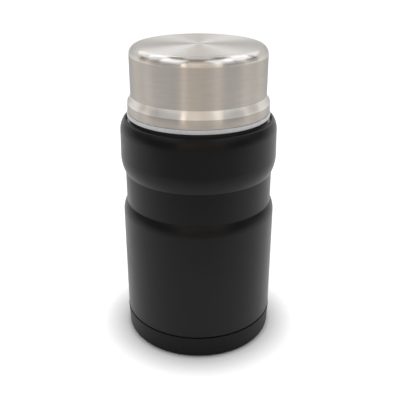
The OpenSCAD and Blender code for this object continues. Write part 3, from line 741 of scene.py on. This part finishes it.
def wind_spring():
    """The vent's spring, wound on the vent's body in place of the CAD spring."""
    length = SPRING_TOP - SPRING_FOOT
    closed_rise = SPRING_WIRE + COIL_GAP
    values = {
        "Coil Radius": SPRING_RADIUS,
        "Wire Radius": SPRING_WIRE / 2,
        "Closed Rise": closed_rise,
        "Open Rise": length - SPRING_WIRE - 2 * closed_rise,
        "Turns": SPRING_TURNS,
        "Foot Height": SPRING_FOOT,
        "Finish": WIRE_STEEL,
    }
    spring = grow("coiled_spring", make_spring_tree(), values)
    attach(spring, "vent")
    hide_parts("vent_spring")
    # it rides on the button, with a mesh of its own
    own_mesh(spring)


wind_spring()


# ---------------------------------------------------------------------------------------------
# Studio: floor, lights and camera
# ---------------------------------------------------------------------------------------------

PAPER_HALF = 5.0  # half of the paper's width, and how far it reaches in front of the jar
PAPER_TURN = 1.1  # behind the jar, where the paper starts to curve up
PAPER_CURVE = 0.9  # radius of that curve
PAPER_TOP = 3.0  # height of its top edge
CURVE_STEPS = 24
GLOW_START = -0.28  # the paper's painted glow starts here, in front of the jar
GLOW_FULL = -0.15
SHADE_EDGE = 47.5 * MM  # painted shadow: under the jar the paper's glow is off out to here
SHADE_CRISP = 49.5 * MM  # end of the crisp painted shadow round the foot
SHADE_SOFT = 66.0 * MM  # end of the soft painted shadow around that


def make_paper():
    """A plain pale floor that curves up into a backdrop behind the jar. It has a painted glow that fades
    out in front of the jar and leaves a painted shadow round its foot.
    """
    profile = [(-PAPER_HALF, 0.0), (PAPER_TURN, 0.0)]
    for step in range(1, CURVE_STEPS + 1):
        angle = math.radians(90.0 * step / CURVE_STEPS)
        rise = PAPER_CURVE * (1.0 - math.cos(angle))
        profile.append((PAPER_TURN + PAPER_CURVE * math.sin(angle), rise))
    profile.append((PAPER_TURN + PAPER_CURVE, PAPER_TOP))
    corners = [(x, y, z) for y, z in profile for x in (-PAPER_HALF, PAPER_HALF)]
    faces = [(2 * i, 2 * i + 1, 2 * i + 3, 2 * i + 2) for i in range(len(profile) - 1)]
    mesh = bpy.data.meshes.new("paper_sweep")
    mesh.from_pydata(corners, [], faces)
    mesh.polygons.foreach_set("use_smooth", [True] * len(faces))
    paper = bpy.data.objects.new("paper_sweep", mesh)
    bpy.context.scene.collection.objects.link(paper)
    material, tree, skin, place = start_finish(
        "pale_paper", Base_Color=(0.72, 0.72, 0.72, 1.0), Roughness=0.9, Specular_IOR_Level=0.0,
        Emission_Strength=0.55,
    )
    spot = split(tree, place)
    reach = from_axis(tree, spot)
    painted_glow_front_fade = spread(tree, spot[1], GLOW_START, GLOW_FULL, 0.0, 1.0)
    # painted shadow: the glow is cut out round the jar's foot, crisply at first and softly further out
    clear = calc(
        tree,
        "ADD",
        spread(tree, reach, SHADE_EDGE, SHADE_CRISP, 0.0, 0.3),
        spread(tree, reach, SHADE_CRISP, SHADE_SOFT, 0.0, 0.7),
    )
    # painted glow and painted shadow: the paper's emission, faded out in front of the jar and cut out
    # round its foot
    glow = calc(tree, "MULTIPLY", painted_glow_front_fade, clear)
    wire(tree, skin, Emission_Color=blend_colour(tree, glow, (0.0, 0.0, 0.0), (1.0, 1.0, 1.0)))
    mesh.materials.append(material)


make_paper()

scene = bpy.context.scene
scene.view_settings.view_transform = "Standard"
scene.view_settings.look = "None"

world = bpy.data.worlds.new("studio")
scene.world = world
world.use_nodes = True
world.node_tree.nodes["Background"].inputs["Color"].default_value = (1.0, 0.9, 0.8, 1.0)
world.node_tree.nodes["Background"].inputs["Strength"].default_value = 0.25

JAR_MIDDLE = (0.0, 0.0, 0.14)
COOL = (0.90, 0.98, 1.07)
WARM = (1.0, 0.88, 0.77)
PALE_BLUE = (0.96, 1.01, 1.07)

# high walls of the light tent: azimuth and brightness
TENT_WALLS = {
    "tent_left_front": (-52.0, 1.3),
    "tent_left": (-98.0, 0.85),
    "tent_left_back": (-144.0, 0.7),
    "tent_right_front": (44.0, 1.1),
    "tent_right": (88.0, 1.15),
    "tent_right_back": (132.0, 0.6),
}
# upright strips at the height of the jar: azimuth, width and brightness
STRIPS = {
    "strip_left_edge": (-88.0, 0.20, 0.3),
    "strip_left": (-23.0, 0.16, 1.7),
    "strip_front": (-6.0, 0.42, 0.6),
    "strip_front_right": (15.0, 0.36, 0.45),
    "strip_right": (31.0, 0.26, 0.9),
    "strip_right_edge": (80.0, 0.16, 0.5),
}


def panel(name, place, target, width, tall, radiance, colour):
    """A soft light panel that faces a target, its tall side upright. Radiance is its face's brightness."""
    light = bpy.data.lights.new(name, "AREA")
    light.shape = "RECTANGLE"
    light.size = width
    light.size_y = tall
    light.energy = radiance * math.pi * width * tall
    light.color = colour
    lamp = bpy.data.objects.new(name, light)
    back = (Vector(place) - Vector(target)).normalized()
    side = Vector((0.0, 0.0, 1.0)).cross(back).normalized()
    turn = Matrix((side, back.cross(side), back)).transposed()
    lamp.matrix_world = Matrix.Translation(place) @ turn.to_4x4()
    scene.collection.objects.link(lamp)


def around(azimuth, distance, height):
    """A place around the jar. Azimuth 0 is the camera's side, and grows to the right."""
    turn = math.radians(azimuth)
    return (distance * math.sin(turn), -distance * math.cos(turn), height)


for light_name, (azimuth, radiance) in TENT_WALLS.items():
    panel(light_name, around(azimuth, 0.72, 0.90), JAR_MIDDLE, 0.62, 0.66, radiance, COOL)
for light_name, (azimuth, width, radiance) in STRIPS.items():
    panel(light_name, around(azimuth, 1.12, 0.42), JAR_MIDDLE, width, 0.7, radiance, WARM)
panel("front_top", around(0.0, 0.85, 0.80), JAR_MIDDLE, width=0.55, tall=0.6, radiance=0.4, colour=WARM)
panel("overhead", (0.0, 0.05, 1.35), JAR_MIDDLE, width=0.5, tall=0.5, radiance=0.6, colour=COOL)
panel(
    "backdrop_wash", (0.0, 0.75, 1.7), (0.0, 1.9, 0.3),
    width=3.0, tall=0.6, radiance=1.2, colour=PALE_BLUE,
)

CAMERA_DISTANCE = 0.3567
CAMERA_HEIGHT = 0.2494
CAMERA_PITCH = 24.37  # degrees down
camera = bpy.data.cameras.new("camera")
camera.sensor_width = 36.0
camera.lens = 54.75
camera.shift_x = 0.0036
camera.clip_start = 0.01
viewer = bpy.data.objects.new("camera", camera)
viewer.location = (0.0, -CAMERA_DISTANCE, CAMERA_HEIGHT)
viewer.rotation_euler = (math.radians(90.0 - CAMERA_PITCH), 0.0, 0.0)
scene.collection.objects.link(viewer)
scene.camera = viewer
